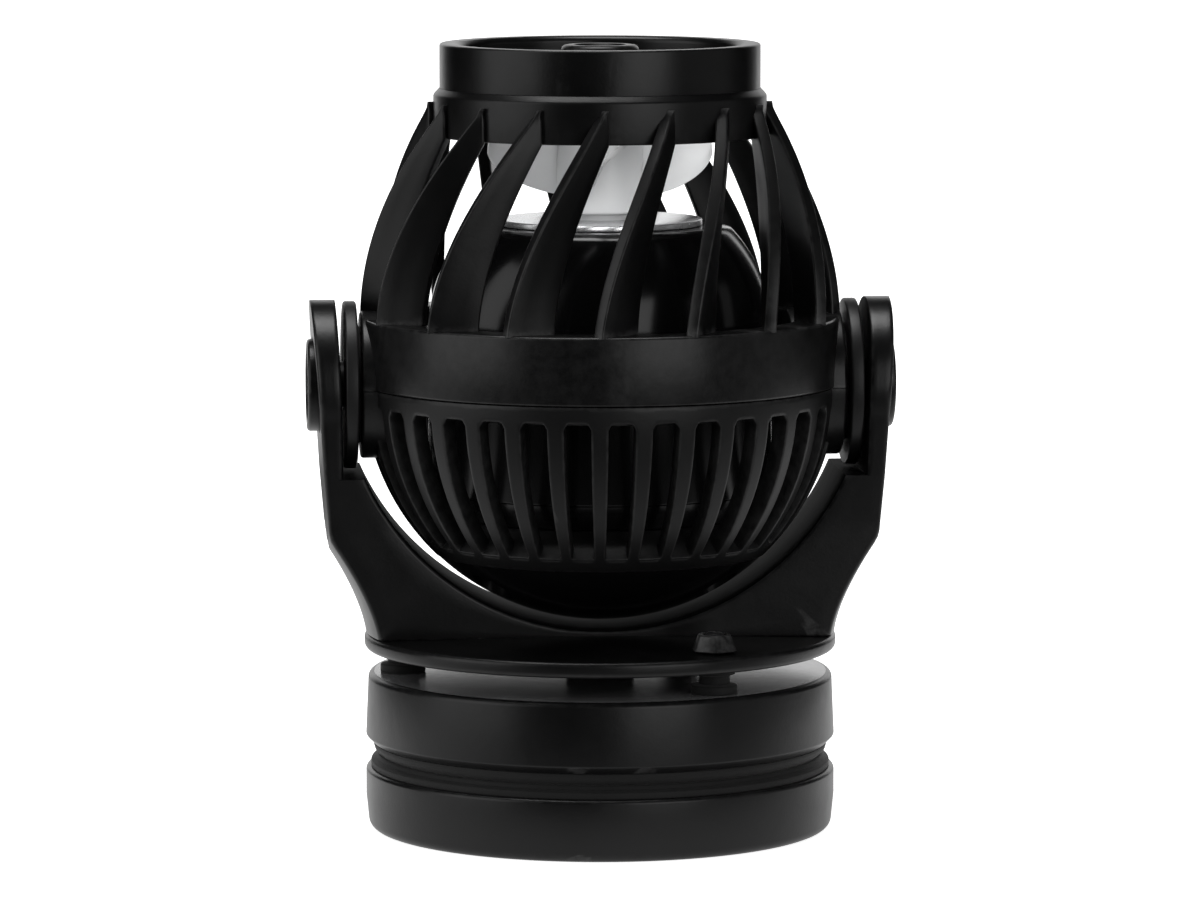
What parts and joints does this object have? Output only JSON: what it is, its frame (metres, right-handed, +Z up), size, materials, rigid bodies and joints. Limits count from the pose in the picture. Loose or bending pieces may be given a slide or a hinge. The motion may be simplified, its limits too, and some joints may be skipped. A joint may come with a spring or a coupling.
{
  "type": "aquarium wave maker pump",
  "caption": "Round aquarium wave maker pump with a vaned intake cage and round outlet, tilting in a U-shaped yoke on a two-part magnet mount that clamps through the tank glass.",
  "frame": {"origin": "centre of the underside of the dry-side magnet housing", "axes": "+Z up through the magnet mount to the outlet, +X along the tilt pivots, -Y towards the front"},
  "size_m": [0.0752, 0.064, 0.1009],
  "materials": {
    "abs_satin": "satin black moulded plastic, fine grain",
    "abs_gloss": "high-gloss black moulded plastic",
    "rubber_black": "soft black rubber",
    "nylon_dark": "dark grey nylon",
    "cover_grey": "satin grey metal plate",
    "steel_plain": "plain steel",
    "steel_black": "black coated steel",
    "magnet_nickel": "nickel-plated magnet",
    "magnet_ferrite": "dark ground ferrite",
    "stator_steel": "laminated steel",
    "copper_wire": "enamelled copper winding",
    "resin": "cast black resin",
    "ceramic": "white ceramic",
    "impeller_white": "translucent white plastic, satin"
  },
  "bodies": {
    "dry_side": {"dry_housing": "abs_satin", "dry_keeper": "steel_plain", "dry_magnets": "magnet_nickel", "dry_lid": "abs_satin", "dry_pad": "rubber_black"},
    "glass_pad": {"wet_pad": "rubber_black"},
    "wet_side": {"wet_housing": "abs_satin", "wet_keeper": "steel_plain", "wet_magnets": "magnet_nickel", "wet_lid": "abs_satin", "centre_post": "rubber_black", "isolators": "rubber_black", "isolator_studs": "steel_black", "isolator_nuts": "steel_black", "yoke": "abs_satin"},
    "pump_head": {"cage_ring": "abs_satin", "cage_vanes": "abs_satin", "cage_skirt": "abs_satin", "nozzle_ring": "abs_satin", "bearing_spider": "abs_satin", "front_bush": "ceramic", "rear_bowl": "abs_satin", "case_screws": "steel_plain", "motor_base": "abs_gloss", "motor_pod": "abs_gloss", "motor_cover": "cover_grey", "stator_core": "stator_steel", "coils": "copper_wire", "potting": "resin", "rear_bush": "ceramic", "thrust_washer": "ceramic", "shaft": "ceramic", "cable_gland": "rubber_black", "pivot_pins": "steel_black", "pivot_caps": "abs_satin", "pivot_spacers": "nylon_dark", "pivot_washers": "rubber_black"},
    "rotor": {"impeller": "impeller_white", "rotor_magnet": "magnet_ferrite"}
  },
  "joints": [
    {"name": "glass_gap", "type": "slide", "parent": "dry_side", "child": "glass_pad", "axis": [0, 0, 1], "range_m": [0, 0.012]},
    {"name": "mount_turn", "type": "hinge", "parent": "glass_pad", "child": "wet_side", "pos_m": [0, 0, 0.01], "axis": [0, 0, 1], "continuous": true},
    {"name": "body_tilt", "type": "hinge", "parent": "wet_side", "child": "pump_head", "pos_m": [0, 0, 0.0573], "axis": [1, 0, 0], "range_deg": [-45, 90]},
    {"name": "rotor_spin", "type": "hinge", "parent": "pump_head", "child": "rotor", "pos_m": [0, 0, 0.0573], "axis": [0, 0, 1], "continuous": true}
  ]
}
